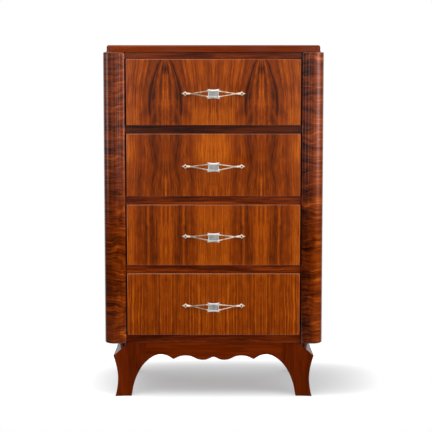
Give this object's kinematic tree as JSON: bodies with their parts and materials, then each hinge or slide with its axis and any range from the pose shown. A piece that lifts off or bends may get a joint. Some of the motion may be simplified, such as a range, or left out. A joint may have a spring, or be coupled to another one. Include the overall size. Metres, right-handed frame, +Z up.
{
  "type": "chiffonier",
  "caption": "Tall narrow chest of drawers with rounded corner posts, figured veneer fronts with fixed metal pulls, and a scalloped apron on splayed bracket legs.",
  "frame": {"origin": "on the floor, in the middle of the width and of the depth over the pulls", "axes": "+Z up, +X to the right seen from the front, the front faces -Y"},
  "size_m": [0.65, 0.429, 1.0483],
  "materials": {
    "front_veneer": "polished figured walnut veneer",
    "post_veneer": "polished dark cross-grain veneer",
    "case_wood": "satin red-brown mahogany",
    "drawer_wood": "plain pale hardwood",
    "panel_wood": "plain panel",
    "nickel": "polished nickel plate",
    "screw_steel": "darkened steel"
  },
  "bodies": {
    "carcass": {"top_board": "case_wood", "left_side_panel": "case_wood", "right_side_panel": "case_wood", "left_corner_post": "post_veneer", "right_corner_post": "post_veneer", "top_rail": "case_wood", "divider_rail_1": "case_wood", "divider_rail_2": "case_wood", "divider_rail_3": "case_wood", "bottom_rail": "case_wood", "bottom_board": "panel_wood", "back_panel": "panel_wood", "left_runner_1": "drawer_wood", "right_runner_1": "drawer_wood", "left_runner_2": "drawer_wood", "right_runner_2": "drawer_wood", "left_runner_3": "drawer_wood", "right_runner_3": "drawer_wood", "left_runner_4": "drawer_wood", "right_runner_4": "drawer_wood", "front_left_leg": "case_wood", "front_right_leg": "case_wood", "back_left_leg": "case_wood", "back_right_leg": "case_wood", "front_apron": "case_wood", "left_apron": "case_wood", "right_apron": "case_wood", "back_apron": "case_wood"},
    "drawer_1": {"drawer_1_front": "front_veneer", "drawer_1_left_side": "drawer_wood", "drawer_1_right_side": "drawer_wood", "drawer_1_back": "drawer_wood", "drawer_1_bottom": "panel_wood", "drawer_1_pull": "nickel", "drawer_1_left_screw": "screw_steel", "drawer_1_right_screw": "screw_steel"},
    "drawer_2": {"drawer_2_front": "front_veneer", "drawer_2_left_side": "drawer_wood", "drawer_2_right_side": "drawer_wood", "drawer_2_back": "drawer_wood", "drawer_2_bottom": "panel_wood", "drawer_2_pull": "nickel", "drawer_2_left_screw": "screw_steel", "drawer_2_right_screw": "screw_steel"},
    "drawer_3": {"drawer_3_front": "front_veneer", "drawer_3_left_side": "drawer_wood", "drawer_3_right_side": "drawer_wood", "drawer_3_back": "drawer_wood", "drawer_3_bottom": "panel_wood", "drawer_3_pull": "nickel", "drawer_3_left_screw": "screw_steel", "drawer_3_right_screw": "screw_steel"},
    "drawer_4": {"drawer_4_front": "front_veneer", "drawer_4_left_side": "drawer_wood", "drawer_4_right_side": "drawer_wood", "drawer_4_back": "drawer_wood", "drawer_4_bottom": "panel_wood", "drawer_4_pull": "nickel", "drawer_4_left_screw": "screw_steel", "drawer_4_right_screw": "screw_steel"}
  },
  "joints": [
    {"name": "drawer_1_slide", "type": "slide", "parent": "carcass", "child": "drawer_1", "axis": [0, -1, 0], "range_m": [0, 0.27]},
    {"name": "drawer_2_slide", "type": "slide", "parent": "carcass", "child": "drawer_2", "axis": [0, -1, 0], "range_m": [0, 0.27]},
    {"name": "drawer_3_slide", "type": "slide", "parent": "carcass", "child": "drawer_3", "axis": [0, -1, 0], "range_m": [0, 0.27]},
    {"name": "drawer_4_slide", "type": "slide", "parent": "carcass", "child": "drawer_4", "axis": [0, -1, 0], "range_m": [0, 0.27]}
  ]
}
